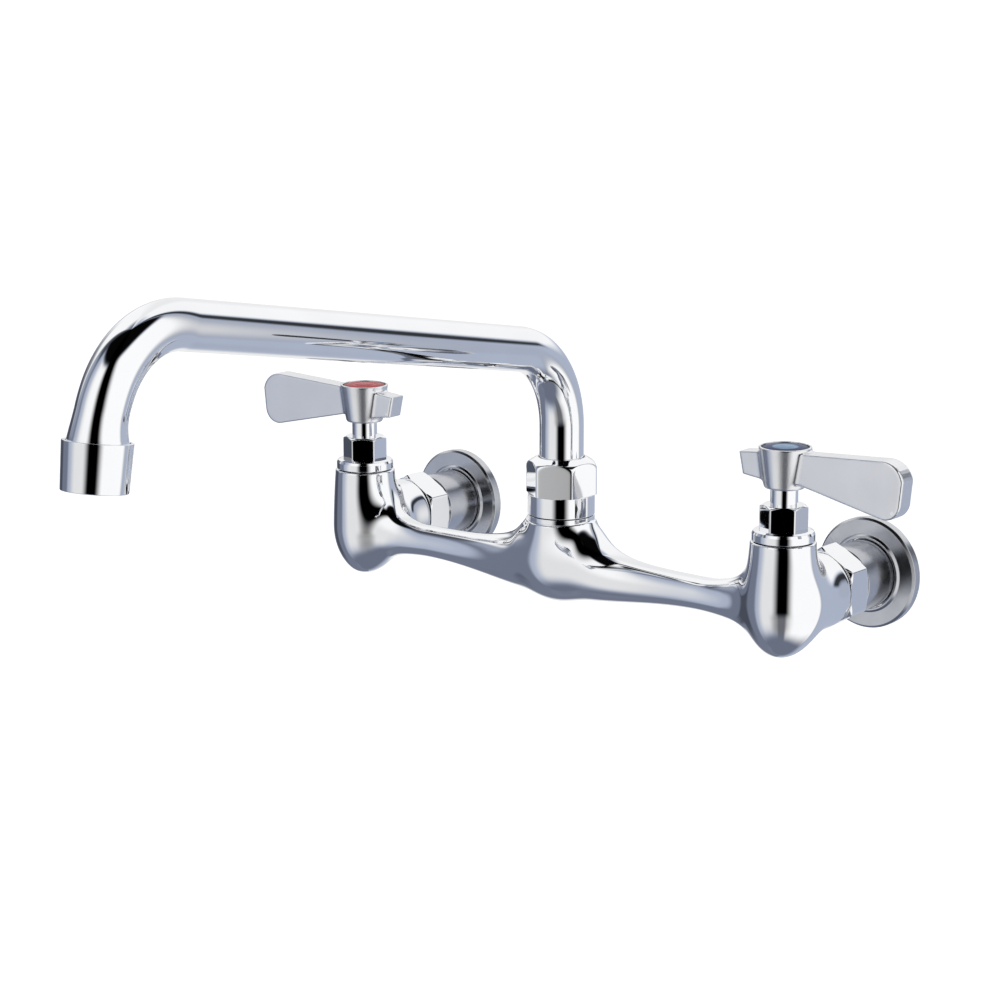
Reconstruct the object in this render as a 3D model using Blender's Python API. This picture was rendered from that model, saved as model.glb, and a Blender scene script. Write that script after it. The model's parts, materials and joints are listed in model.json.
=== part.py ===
"""A wall-mounted two-lever mixing faucet with a swing spout, as separate pieces.

The origin is on the wall, on the back rim of the hot wall plate, level with the inlet axes and inboard of
the hot one: +X to the right, +Y into the wall, +Z up. Lengths are in millimetres until a mesh is made. The
spout stands REST_SWING off straight ahead, and both levers point outward, which is their closed position.
"""

import math

import bmesh
import bpy
from mathutils import Matrix, Vector

MM = 0.001
GAP = 0.3  # left between pieces that touch

# Layout
CENTRES = 203.2  # hot inlet to cold inlet, 8 inches
MIDDLE = 82.0  # the post's x; the hot wall plate's rim is then met at x = 0
VALVE_TO_WALL = 61.3  # the valves' and the post's axes stand this far off the wall
REST_SWING = 3.4  # degrees from straight ahead towards the cold side
LEVER_TOP = 57.6  # height of the index buttons above the inlet axes

# Casting
HOUSING_R = 13.1
HOUSING_TOP_R = 12.0
HOUSING_TOP = 23.1
BULB_BOTTOM = -20.9
POST_R = 12.9
POST_SEAT = 18.5  # shoulder that the spout nut comes down to
POST_TOP = 31.0
POST_BOTTOM = -14.8
POST_GROOVE = 16.2
SPIGOT_R = 10.6
ARM_TOP = 4.3
ARM_BOTTOM = -9.3
ARM_DEPTH = 6.4
BELL_R = 15.7
BELL_NECK_R = 13.2
BELL_MOUTH = -36.6  # the coupling nut's front face is a gap behind it
TAIL_R = 11.0
TAIL_END = -28.2
SMOOTH_TURNS = 14
CAST_VOXEL = 1.6
CAST_KEEP = 0.10

# Waterways
CHAMBER_R = 9.0
CHAMBER_FLOOR = -2.2
PORT_R = 3.2
POST_BORE_R = 9.2
SUMP_R = 5.5

# Bonnet
NECK_R = 5.05
HEX_TOP = 36.5
HEX_BOTTOM = 27.4
BONNET_HEX_R = 8.9  # to the corners
BONNET_FLANGE_R = 11.5
BONNET_END = 12.0
BONNET_TURN = {-1: 36.0, 1: 29.5}  # degrees, one corner from +X, hot and cold

# Cartridge
SLEEVE_R = 8.7
SLEEVE_BORE = 7.3
DISC_R = 7.0
STEM_R = 3.4

# Lever
HUB_TOP_R = 9.7
HUB_BOTTOM_R = 7.4
HUB_BOTTOM = 42.5
LEVER_REACH = 51.0
LEVER_TAIL = 17.5
LEVER_THICK = 8.0
BLADE_TOP = 58.1  # at the tip
BLADE_BOTTOM = 37.2
HOT_LEVER_TURN = 3.0  # degrees forward, where its splines let it sit
TAIL_TOP = 54.4
TAIL_BOTTOM = 46.0

# Spout
TUBE_R = 8.5
TUBE_FLARE = 1.2  # the tube widens by this much at the outlet
FLARE_LENGTH = 9.0
TUBE_BORE = 7.2
TUBE_START = 35.0
LEG_TOP = 52.6
BEND_R = 34.0
RUN_RISE = 9.8
RUN = 184.9
NOSE_R = 31.8
NOSE_DROP = 61.0
TIP_R = 44.0
TIP_DROP = 82.0
OUTLET_TOP_R = 11.2
OUTLET_END_R = 10.6
OUTLET_LENGTH = 15.6
OUTLET_LAP = 5.0  # how far the tube goes into the outlet housing

# Spout nut
NUT_TOP = 41.1
NUT_HEX_BOTTOM = 26.3
NUT_HEX_R = 14.0
NUT_FLATS = 24.3
NUT_BOTTOM = 18.8
NUT_BORE = 10.9
NUT_TURN = -35.0

# Inlets
INLET_NUT_FRONT = -36.3
INLET_NUT_BACK = -24.9
INLET_NUT_R = 16.0
SHANK_R = 13.2
SHANK_FRONT = -22.6
PIPE_BORE = 10.4
PIPE_DEPTH = 16.0
FLANGE_R = 21.3
FLANGE_THICK = 4.4

ROUND = 20  # sides of a small round piece

# name: (colour, metallic, roughness)
FINISHES = {
    "chrome": ((0.78, 0.79, 0.82), 1.0, 0.06),
    "satin_chrome": ((0.62, 0.63, 0.66), 1.0, 0.38),
    "brass": ((0.72, 0.55, 0.27), 1.0, 0.30),
    "steel": ((0.60, 0.60, 0.60), 1.0, 0.35),
    "ceramic": ((0.85, 0.85, 0.82), 0.0, 0.25),
    "rubber": ((0.03, 0.03, 0.03), 0.0, 0.70),
    "nylon": ((0.80, 0.79, 0.74), 0.0, 0.45),
    "hot_index": ((0.62, 0.03, 0.05), 0.0, 0.25),
    "cold_index": ((0.03, 0.08, 0.35), 0.0, 0.25),
}


def clear_scene():
    for obj in list(bpy.data.objects):
        bpy.data.objects.remove(obj)


def finish(name):
    """The Principled material of one finish, made once."""
    found = bpy.data.materials.get(name)
    if found:
        return found
    colour, metallic, roughness = FINISHES[name]
    material = bpy.data.materials.new(name)
    material.use_nodes = True
    shader = material.node_tree.nodes["Principled BSDF"]
    shader.inputs["Base Color"].default_value = (*colour, 1.0)
    shader.inputs["Metallic"].default_value = metallic
    shader.inputs["Roughness"].default_value = roughness
    return material


def empty(name, place):
    """A parent for the pieces that turn together, on their axis."""
    obj = bpy.data.objects.new(name, None)
    bpy.context.collection.objects.link(obj)
    obj.matrix_world = place
    bpy.context.view_layer.update()
    return obj


def piece(name, bm, place, material=None, parent=None):
    """Links a mesh, given in millimetres about its own origin, as a named object."""
    bmesh.ops.scale(bm, vec=(MM, MM, MM), verts=bm.verts)
    bmesh.ops.recalc_face_normals(bm, faces=bm.faces)
    if bm.calc_volume(signed=True) < 0:
        bmesh.ops.reverse_faces(bm, faces=bm.faces)
    mesh = bpy.data.meshes.new(name)
    bm.to_mesh(mesh)
    bm.free()
    mesh.shade_smooth()
    mesh.set_sharp_from_angle(angle=math.radians(32))
    obj = bpy.data.objects.new(name, mesh)
    bpy.context.collection.objects.link(obj)
    if parent:
        obj.parent = parent
        obj.matrix_parent_inverse = parent.matrix_world.inverted()
    obj.matrix_world = place
    if material:
        mesh.materials.append(finish(material))
    return obj


def combine(obj, tool, operation="DIFFERENCE"):
    """Adds a Boolean with a helper object, which isn't part of the model."""
    tool.hide_render = True
    tool.display_type = "WIRE"
    modifier = obj.modifiers.new(operation.lower(), "BOOLEAN")
    modifier.operation = operation
    modifier.solver = "EXACT"
    modifier.object = tool
    return obj


def lathe(name, outline, place, material=None, parent=None, sides=ROUND):
    """A turned piece: outline is the closed half section, as (radius, height) points."""
    bm = bmesh.new()
    points = [bm.verts.new((r, 0.0, z)) for r, z in outline]
    edges = [bm.edges.new((a, b)) for a, b in zip(points, points[1:] + points[:1])]
    bmesh.ops.spin(
        bm,
        geom=points + edges,
        cent=(0, 0, 0),
        axis=(0, 0, 1),
        angle=math.tau,
        steps=sides,
        use_merge=True,
    )
    bmesh.ops.remove_doubles(bm, verts=bm.verts, dist=1e-4)
    bmesh.ops.dissolve_degenerate(bm, edges=bm.edges, dist=1e-5)
    return piece(name, bm, place, material, parent)


def flats_tool(name, across, bottom, top, turn, place):
    """Cuts a round blank to a hexagon between two heights, as a mill would."""
    bm = bmesh.new()
    corner = across / math.sqrt(3)
    outside = 3 * corner
    loops = []
    for radius, height in ((corner, bottom), (corner, top), (outside, top), (outside, bottom)):
        angles = [math.radians(turn + 60 * k) for k in range(6)]
        ring = [(radius * math.cos(a), radius * math.sin(a), height) for a in angles]
        loops.append([bm.verts.new(point) for point in ring])
    for first, second in zip(loops, loops[1:] + loops[:1]):
        for k in range(6):
            bm.faces.new((first[k], first[k - 1], second[k - 1], second[k]))
    return piece(name, bm, place)


def rod_tool(name, start, end, radius, sides=20):
    """A straight round cutter between two points in the object's frame."""
    start = Vector(start)
    along = Vector(end) - start
    bm = bmesh.new()
    bmesh.ops.create_cone(
        bm, cap_ends=True, segments=sides, radius1=radius, radius2=radius, depth=along.length
    )
    turn = along.to_track_quat("Z", "Y").to_matrix().to_4x4()
    middle = Matrix.Translation((start + along / 2) * MM)
    return piece(name, bm, middle @ turn)


def box_tool(name, low, high, place):
    bm = bmesh.new()
    bmesh.ops.create_cube(bm, size=1.0)
    size = [b - a for a, b in zip(low, high)]
    centre = [(a + b) / 2 for a, b in zip(low, high)]
    bmesh.ops.scale(bm, vec=size, verts=bm.verts)
    bmesh.ops.translate(bm, vec=centre, verts=bm.verts)
    return piece(name, bm, place)


def arc(centre, radius, start, end, steps):
    """Points of a round stretch, angles in degrees from the first axis."""
    angles = [math.radians(start + (end - start) * k / steps) for k in range(steps + 1)]
    return [(centre[0] + radius * math.cos(a), centre[1] + radius * math.sin(a)) for a in angles]


def ring_outline(inner, outer, bottom, top):
    return [(inner, bottom), (outer, bottom), (outer, top), (inner, top)]


def bevelled_ring(inner, outer, bottom, top, edge):
    """A ring's section with its two outer corners cut at 45 degrees."""
    return [
        (inner, bottom),
        (outer - edge, bottom),
        (outer, bottom + edge),
        (outer, top - edge),
        (outer - edge, top),
        (inner, top),
    ]


def round_section(major, minor, height, steps=7):
    """An O-ring's section."""
    return arc((major, height), minor, 0, 360, steps)[:-1]


# ---------------------------------------------------------------- places


def valve_place(side):
    """The axis of a valve: side is -1 for hot, on the left, and +1 for cold."""
    return Matrix.Translation(Vector((MIDDLE + side * CENTRES / 2, -VALVE_TO_WALL, 0)) * MM)


def post_place():
    return Matrix.Translation(Vector((MIDDLE, -VALVE_TO_WALL, 0)) * MM)


def inlet_place(side):
    """An inlet's axis: local z runs along the object's Y, so 0 is the wall."""
    at = Vector((MIDDLE + side * CENTRES / 2, 0, 0)) * MM
    return Matrix.Translation(at) @ Matrix.Rotation(-math.pi / 2, 4, "X")


# ---------------------------------------------------------------- casting


def housing_outline():
    """Valve housing: an egg-shaped bulb below, a slight taper above, left long for facing."""
    middle = BULB_BOTTOM + 21.5
    bulb = [
        (HOUSING_R * math.cos(t), middle + 21.5 * math.sin(t))
        for t in [math.radians(-90 + 90 * k / 12) for k in range(13)]
    ]
    return [(0.0, BULB_BOTTOM)] + bulb[1:] + [(HOUSING_TOP_R, HOUSING_TOP + 3), (0.0, HOUSING_TOP + 3)]


def bell_outline():
    """Inlet bell: a flare from the housing out to its mouth, left long for facing."""
    start = -VALVE_TO_WALL + 6
    flare = []
    for k in range(9):
        t = k / 8
        flare.append((BELL_NECK_R + (BELL_R - BELL_NECK_R) * t**2.2, start + (BELL_MOUTH - start) * t))
    return [(0.0, start)] + flare + [(BELL_R, BELL_MOUTH + 13), (0.0, BELL_MOUTH + 13)]


def post_outline():
    bowl = [
        (POST_R * math.cos(t), POST_BOTTOM + 16 + 16 * math.sin(t))
        for t in [math.radians(-90 + 90 * k / 8) for k in range(9)]
    ]
    return [(0.0, POST_BOTTOM)] + bowl[1:] + [(POST_R, POST_TOP + 3), (0.0, POST_TOP + 3)]


def arm_section(x):
    """Top, bottom and half depth of the arms at x: thick at the post, slim, then flared to the housing."""
    x = abs(x)
    top = ARM_TOP + 14.5 * math.exp(-(max(x, 15.0) - 12) / 9.5)
    belly = 0.5 + 0.5 * math.cos(math.pi * min(x / 66, 1.0))
    flare = (max(x - 64, 0) / 32) ** 2
    bottom = ARM_BOTTOM + (POST_BOTTOM - ARM_BOTTOM) * belly - 6.0 * flare
    depth = ARM_DEPTH + 9.0 * math.exp(-((x / 29) ** 2)) + 2.5 * flare
    return top + 1.5 * flare, bottom, depth


def arms_mesh(steps=56, sides=20):
    """Both arms as one loft of ellipses from housing to housing."""
    bm = bmesh.new()
    rings = []
    for k in range(steps + 1):
        x = CENTRES * (k / steps - 0.5)
        top, bottom, depth = arm_section(x)
        ring = []
        for j in range(sides):
            t = math.tau * j / sides
            z = (top + bottom) / 2 + (top - bottom) / 2 * math.sin(t)
            ring.append(bm.verts.new((x, depth * math.cos(t), z)))
        rings.append(ring)
    for first, second in zip(rings, rings[1:]):
        for j in range(sides):
            bm.faces.new((first[j - 1], first[j], second[j], second[j - 1]))
    bm.faces.new(rings[0])
    bm.faces.new(rings[-1])
    return bm


def casting_blank():
    """Housings, bells, post and arms melted into one smooth casting."""
    blank = piece("body_casting", arms_mesh(), post_place(), "chrome")
    combine(blank, lathe("post_blank", post_outline(), post_place(), sides=32), "UNION")
    for side in (-1, 1):
        housing = lathe(f"housing_blank_{side}", housing_outline(), valve_place(side), sides=40)
        combine(blank, housing, "UNION")
        combine(blank, lathe(f"bell_blank_{side}", bell_outline(), inlet_place(side), sides=40), "UNION")
    remesh = blank.modifiers.new("melt", "REMESH")
    remesh.mode = "VOXEL"
    remesh.voxel_size = CAST_VOXEL * MM
    smooth = blank.modifiers.new("fillets", "SMOOTH")
    smooth.factor = 0.5
    smooth.iterations = SMOOTH_TURNS
    thin = blank.modifiers.new("thin_out", "DECIMATE")
    thin.ratio = CAST_KEEP
    return blank


def machine_housing(casting, side):
    """Faces the top, and bores the cartridge chamber, seal recess, port and sump."""
    over = HOUSING_TOP + 8
    outline = [
        (0.0, over),
        (20.0, over),
        (20.0, HOUSING_TOP),
        (CHAMBER_R, HOUSING_TOP),
        (CHAMBER_R, CHAMBER_FLOOR),
        (6.2, CHAMBER_FLOOR),
        (6.2, CHAMBER_FLOOR - 1.2),
        (PORT_R, CHAMBER_FLOOR - 1.2),
        (PORT_R, CHAMBER_FLOOR - 3.3),
        (SUMP_R, CHAMBER_FLOOR - 3.3),
        (SUMP_R, -12.0),
        (0.0, -15.0),
    ]
    combine(casting, lathe(f"housing_bore_{side}", outline, valve_place(side)))


def machine_inlet(casting, side):
    """Faces the bell's mouth, turns the threaded tail and drills down to the sump."""
    outline = [
        (0.0, -45.0),
        (7.6, -45.0),
        (7.6, TAIL_END),
        (TAIL_R, TAIL_END),
        (TAIL_R, BELL_MOUTH),
        (20.0, BELL_MOUTH),
        (20.0, -15.0),
        (0.0, -15.0),
    ]
    combine(casting, lathe(f"inlet_bore_{side}", outline, inlet_place(side)))
    x = MIDDLE + side * CENTRES / 2
    passage = rod_tool(f"passage_{side}", (x, -42.5, -4.0), (x, -VALVE_TO_WALL, -10.5), 2.9)
    combine(casting, passage)


def machine_post(casting):
    """Turns the shoulder, its groove and the spigot, and bores the post."""
    outline = [
        (0.0, -4.0),
        (POST_BORE_R, -4.0),
        (POST_BORE_R, POST_TOP),
        (SPIGOT_R, POST_TOP),
        (SPIGOT_R, POST_SEAT),
        (20.0, POST_SEAT),
        (20.0, POST_TOP + 8),
        (0.0, POST_TOP + 8),
    ]
    combine(casting, lathe("post_bore", outline, post_place()))
    groove = ring_outline(POST_R - 0.6, 20.0, POST_GROOVE - 0.3, POST_GROOVE + 0.3)
    combine(casting, lathe("post_groove", groove, post_place()))


def body_casting():
    casting = casting_blank()
    for side in (-1, 1):
        machine_housing(casting, side)
        machine_inlet(casting, side)
        start = (MIDDLE, -VALVE_TO_WALL, -1.6)
        end = (MIDDLE + side * (CENTRES / 2 - 3), -VALVE_TO_WALL, 1.4)
        waterway = rod_tool(f"waterway_{side}", start, end, PORT_R)
        combine(casting, waterway)
    machine_post(casting)
    return casting


# ---------------------------------------------------------------- valves


def bonnet(name, side):
    """Hexagon, round flange and threaded shank, bored for the stem."""
    place = valve_place(side)
    flange_bottom = HOUSING_TOP + GAP
    outline = [
        (STEM_R + GAP, HUB_BOTTOM + 1.6),
        (STEM_R + GAP, HEX_TOP - 2.0),
        (5.25, HEX_TOP - 2.0),
        (5.25, 22.0),
        (7.3, 22.0),
        (7.3, BONNET_END),
        (SLEEVE_R, BONNET_END),
        (SLEEVE_R, flange_bottom),
        (BONNET_FLANGE_R, flange_bottom),
        (BONNET_FLANGE_R, HEX_BOTTOM - 0.9),
        (BONNET_FLANGE_R - 0.9, HEX_BOTTOM),
        (BONNET_HEX_R, HEX_BOTTOM),
        (BONNET_HEX_R, HEX_TOP - 0.9),
        (BONNET_HEX_R - 1.6, HEX_TOP),
        (NECK_R, HEX_TOP),
        (NECK_R, HUB_BOTTOM + 1.6),
    ]
    obj = lathe(name, outline, place, "chrome", sides=24)
    across = BONNET_HEX_R * math.sqrt(3)
    flats = flats_tool(f"{name}_flats", across, HEX_BOTTOM, HEX_TOP + 2, BONNET_TURN[side], place)
    return combine(obj, flats)


def cartridge_sleeve(name, side):
    """Brass sleeve that holds both discs, with a window on each side for the water."""
    place = valve_place(side)
    bottom = CHAMBER_FLOOR + GAP
    top = BONNET_END - GAP
    outline = [
        (6.2, bottom),
        (SLEEVE_R, bottom),
        (SLEEVE_R, top),
        (SLEEVE_BORE, top),
        (SLEEVE_BORE, bottom + 1.0),
        (6.2, bottom + 1.0),
    ]
    obj = lathe(name, outline, place, "brass")
    window = box_tool(f"{name}_windows", (-12, -2.6, bottom + 5.4), (12, 2.6, bottom + 9.4), place)
    return combine(obj, window)


def fixed_disc(name, side):
    """Lower ceramic disc: two openings, opposite each other."""
    place = valve_place(side)
    bottom = CHAMBER_FLOOR + 2 * GAP + 1.0
    obj = lathe(name, ring_outline(0.0, DISC_R, bottom, bottom + 2.4), place, "ceramic")
    slot = box_tool(f"{name}_slots", (1.4, -1.7, bottom - 1), (5.0, 1.7, bottom + 4), place)
    combine(obj, slot)
    other = box_tool(f"{name}_slots_2", (-5.0, -1.7, bottom - 1), (-1.4, 1.7, bottom + 4), place)
    return combine(obj, other)


def moving_disc(name, side, parent):
    """Upper ceramic disc: a bow-tie of openings that the stem turns over the lower ones."""
    place = valve_place(side)
    bottom = CHAMBER_FLOOR + 3 * GAP + 3.4
    obj = lathe(name, ring_outline(0.0, DISC_R, bottom, bottom + 2.4), place, "ceramic", parent)
    for k in (-1, 1):
        low, high = sorted((k * 2.6, k * 9.0))
        notch = box_tool(f"{name}_notch_{k}", (-2.3, low, bottom - 1), (2.3, high, bottom + 4), place)
        combine(obj, notch)
    key = box_tool(f"{name}_key", (-4.3, -1.3, bottom + 1.2), (4.3, 1.3, bottom + 4), place)
    return combine(obj, key)


def seat_seal(name, side):
    """Rubber seal between the cartridge and the floor of the chamber."""
    top = CHAMBER_FLOOR
    outline = ring_outline(PORT_R + GAP, 6.2 - GAP, CHAMBER_FLOOR - 1.2 + GAP, top + 1.0)
    return lathe(name, outline, valve_place(side), "rubber")


def stem(name, side, parent):
    """Stem with its drive key, foot, O-ring groove and screw hole."""
    place = valve_place(side)
    foot = CHAMBER_FLOOR + 4 * GAP + 5.8
    groove = 30.0
    outline = [
        (0.0, foot),
        (6.6, foot),
        (6.6, foot + 3.0),
        (4.9, foot + 3.0),
        (4.9, groove - 1.1),
        (3.0, groove - 1.1),
        (3.0, groove + 1.1),
        (4.9, groove + 1.1),
        (4.9, HEX_TOP - 2.0 - GAP),
        (STEM_R, HEX_TOP - 2.0 - GAP),
        (STEM_R, 51.0),
        (1.9, 51.0),
        (1.9, 42.0),
        (0.0, 41.0),
    ]
    obj = lathe(name, outline, place, "brass", parent)
    key = box_tool(f"{name}_key", (-4.0, -1.0, foot - 1.2), (4.0, 1.0, foot + 0.5), place)
    return combine(obj, key, "UNION")


def stem_o_ring(name, side, parent):
    return lathe(name, round_section(4.2, 0.75, 30.0), valve_place(side), "rubber", parent)


def blade_outline():
    """Side view of the lever from its tail to its tip: distance from the axis, then height."""
    crown = 8.5
    chin = 5.5
    return (
        [(-LEVER_TAIL, TAIL_TOP), (-6.0, TAIL_TOP + 1.2), (6.0, BLADE_TOP - 2.0)]
        + arc((LEVER_REACH - crown, BLADE_TOP - crown), crown, 92, 12, 5)
        + arc((LEVER_REACH - chin - 1.0, BLADE_BOTTOM + chin), chin, -12, -104, 5)
        + [(6.0, TAIL_BOTTOM - 0.6), (-6.0, TAIL_BOTTOM - 1.2), (-LEVER_TAIL + 1.8, TAIL_BOTTOM)]
    )


def lever_place(side):
    """The lever's frame; the hot one sits a few degrees forward on its stem."""
    turn = HOT_LEVER_TURN if side < 0 else 0.0
    return valve_place(side) @ Matrix.Rotation(math.radians(turn), 4, "Z")


def lever(name, side, parent):
    """Tapered hub, flat blade and short tail, hollow for the stem, the screw and the index button."""
    place = lever_place(side)
    bm = bmesh.new()
    half = LEVER_THICK / 2
    face = bm.faces.new([bm.verts.new((side * x, -half, z)) for x, z in blade_outline()])
    swept = bmesh.ops.extrude_face_region(bm, geom=[face])
    moved = [v for v in swept["geom"] if isinstance(v, bmesh.types.BMVert)]
    bmesh.ops.translate(bm, vec=(0, LEVER_THICK, 0), verts=moved)
    obj = piece(name, bm, place, "satin_chrome", parent)
    edges = obj.modifiers.new("edges", "BEVEL")
    edges.width = 0.8 * MM
    edges.segments = 2
    edges.limit_method = "ANGLE"
    edges.angle_limit = math.radians(50)
    hub = [
        (0.0, HUB_BOTTOM),
        (HUB_BOTTOM_R - 1.6, HUB_BOTTOM),
        (HUB_BOTTOM_R - 0.4, HUB_BOTTOM + 0.8),
        (HUB_BOTTOM_R, HUB_BOTTOM + 2.2),
        (HUB_TOP_R, LEVER_TOP - 1.6),
        (HUB_TOP_R, LEVER_TOP - 0.6),
        (HUB_TOP_R - 0.4, LEVER_TOP - 0.2),
        (0.0, LEVER_TOP - 0.2),
    ]
    combine(obj, lathe(f"{name}_hub", hub, place, sides=24), "UNION")
    hollow = [
        (0.0, HUB_BOTTOM - 1),
        (NECK_R + GAP + 0.2, HUB_BOTTOM - 1),
        (NECK_R + GAP + 0.2, HUB_BOTTOM + 2.2),
        (STEM_R + GAP, HUB_BOTTOM + 2.2),
        (STEM_R + GAP, 51.3),
        (2.5, 51.3),
        (2.5, 52.0),
        (4.6, 52.0),
        (4.6, LEVER_TOP - 2.4),
        (8.7, LEVER_TOP - 2.4),
        (8.7, LEVER_TOP + 1),
        (0.0, LEVER_TOP + 1),
    ]
    return combine(obj, lathe(f"{name}_hollow", hollow, place))


def lever_screw(name, side, parent):
    """Pan-headed screw down into the stem, with a cross recess cut as a slot."""
    place = valve_place(side)
    outline = [
        (0.0, 43.5),
        (1.6, 43.5),
        (1.6, 52.3),
        (4.2, 52.3),
        (4.2, 53.6),
        (3.4, 54.4),
        (0.0, 54.4),
    ]
    obj = lathe(name, outline, place, "steel", parent, sides=20)
    slot = box_tool(f"{name}_slot", (-5, -0.5, 53.6), (5, 0.5, 56), place)
    return combine(obj, slot)


def index_button(name, side, parent, material):
    """Round coloured button pressed into the top of the hub, slightly domed."""
    bottom = LEVER_TOP - 2.4 + GAP
    rim = LEVER_TOP - 0.5
    dome = [(8.4 * (1 - k / 3), rim + 0.5 * (1 - (1 - k / 3) ** 2)) for k in range(4)]
    outline = [(0.0, bottom), (8.4, bottom)] + dome
    return lathe(name, outline, valve_place(side), material, parent)


def valve(prefix, side):
    """All pieces of one valve; the turning ones hang on an empty on the stem's axis."""
    turning = empty(f"{prefix}_handle_axis", valve_place(side))
    bonnet(f"{prefix}_bonnet", side)
    cartridge_sleeve(f"{prefix}_cartridge_sleeve", side)
    fixed_disc(f"{prefix}_fixed_disc", side)
    seat_seal(f"{prefix}_seat_seal", side)
    moving_disc(f"{prefix}_moving_disc", side, turning)
    stem(f"{prefix}_stem", side, turning)
    stem_o_ring(f"{prefix}_stem_o_ring", side, turning)
    lever(f"{prefix}_lever", side, turning)
    lever_screw(f"{prefix}_lever_screw", side, turning)
    index_button(f"{prefix}_index", side, turning, f"{prefix}_index")


# ---------------------------------------------------------------- inlets


def inlet_nut(name, side):
    """Coupling nut: hexagon, corner up, chamfered at both ends, open at the back for the shank."""
    place = inlet_place(side)
    front = INLET_NUT_FRONT
    back = INLET_NUT_BACK
    edge = 1.5
    outline = [
        (TAIL_R + GAP, front),
        (INLET_NUT_R - edge, front),
        (INLET_NUT_R, front + edge * 0.6),
        (INLET_NUT_R, back - edge * 0.6),
        (INLET_NUT_R - edge, back),
        (9.0, back),
        (9.0, back - 1.6),
        (TAIL_R + GAP, back - 1.6),
    ]
    obj = lathe(name, outline, place, "chrome", sides=24)
    across = INLET_NUT_R * math.sqrt(3)
    return combine(obj, flats_tool(f"{name}_flats", across, front - 2, back + 2, 30, place))


def inlet_washer(name, side):
    outline = ring_outline(6.8, 10.6, TAIL_END + GAP, TAIL_END + GAP + 0.9)
    return lathe(name, outline, inlet_place(side), "rubber")


def inlet_shank(name, side):
    """Shank: flared tail held by the nut, neck, and a barrel with the half-inch pipe bore."""
    place = inlet_place(side)
    flare = TAIL_END + 2 * GAP + 0.9
    outline = [
        (6.5, flare),
        (10.7, flare),
        (10.7, INLET_NUT_BACK - 1.6 - GAP),
        (8.7, INLET_NUT_BACK - 1.6 - GAP),
        (8.7, SHANK_FRONT),
        (SHANK_R, SHANK_FRONT),
        (SHANK_R, -GAP),
        (PIPE_BORE, -GAP),
        (PIPE_BORE, -PIPE_DEPTH),
        (6.5, -PIPE_DEPTH),
    ]
    return lathe(name, outline, place, "chrome", sides=16)


def wall_flange(name, side):
    """Round wall plate with a bevelled rim, a raised ring round the shank and a recess for the gasket."""
    hole = SHANK_R + GAP
    outline = [
        (hole, -FLANGE_THICK - 1.0),
        (hole + 0.8, -FLANGE_THICK - 1.0),
        (hole + 1.6, -FLANGE_THICK),
        (FLANGE_R - 0.8, -FLANGE_THICK),
        (FLANGE_R, -FLANGE_THICK + 0.8),
        (FLANGE_R, 0.0),
        (18.0, 0.0),
        (18.0, -1.8),
        (hole, -1.8),
    ]
    return lathe(name, outline, inlet_place(side), "satin_chrome", sides=36)


def wall_gasket(name, side):
    outline = ring_outline(SHANK_R + GAP, 17.7, -1.5, 0.0)
    return lathe(name, outline, inlet_place(side), "rubber")


def inlet(prefix, side):
    inlet_nut(f"{prefix}_inlet_nut", side)
    inlet_washer(f"{prefix}_inlet_washer", side)
    inlet_shank(f"{prefix}_inlet_shank", side)
    wall_flange(f"{prefix}_wall_flange", side)
    wall_gasket(f"{prefix}_wall_gasket", side)


# ---------------------------------------------------------------- spout


def spout_path():
    """The tube's centre line in its own plane, as (reach, height, climb angle) points."""
    reach, height, climb = 0.0, TUBE_START, 90.0
    points = [(reach, height, climb)]

    def straight(length):
        nonlocal reach, height
        reach += length * math.cos(math.radians(climb))
        height += length * math.sin(math.radians(climb))
        points.append((reach, height, climb))

    def bend(radius, until, steps):
        nonlocal reach, height, climb
        step = math.radians(climb - until) / steps
        for _ in range(steps):
            middle = math.radians(climb) - step / 2
            chord = 2 * radius * math.sin(step / 2)
            reach += chord * math.cos(middle)
            height += chord * math.sin(middle)
            climb -= math.degrees(step)
            points.append((reach, height, climb))

    straight(LEG_TOP - TUBE_START)
    bend(BEND_R, RUN_RISE, 12)
    straight(RUN)
    bend(NOSE_R, -NOSE_DROP, 11)
    bend(TIP_R, -TIP_DROP, 4)
    straight(OUTLET_LAP)
    return points


def spout_rings():
    """The path with, at each point, how much the tube is widened there."""
    points = spout_path()
    steps = 3
    reach, height, climb = points.pop()
    first = points[-1]
    for k in range(1, steps + 1):
        t = k / steps
        points.append((first[0] + (reach - first[0]) * t, first[1] + (height - first[1]) * t, climb))
    length = [0.0]
    for a, b in zip(points, points[1:]):
        length.append(length[-1] + math.hypot(b[0] - a[0], b[1] - a[1]))
    start = length[-1] - OUTLET_LAP - FLARE_LENGTH
    wider = [TUBE_FLARE * min(max((at - start) / FLARE_LENGTH, 0.0), 1.0) ** 1.6 for at in length]
    return [(*point, extra) for point, extra in zip(points, wider)]


def swing_place():
    """The spout's frame: local -Y runs out along the spout at rest."""
    return post_place() @ Matrix.Rotation(math.radians(REST_SWING), 4, "Z")


def outlet_place():
    """The outlet's frame at the tube's end, local -Z along the stream."""
    reach, height, climb = spout_path()[-1]
    lean = math.radians(90 + climb)
    at = Matrix.Translation(Vector((0, -reach, height)) * MM)
    return swing_place() @ at @ Matrix.Rotation(-lean, 4, "X")


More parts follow.
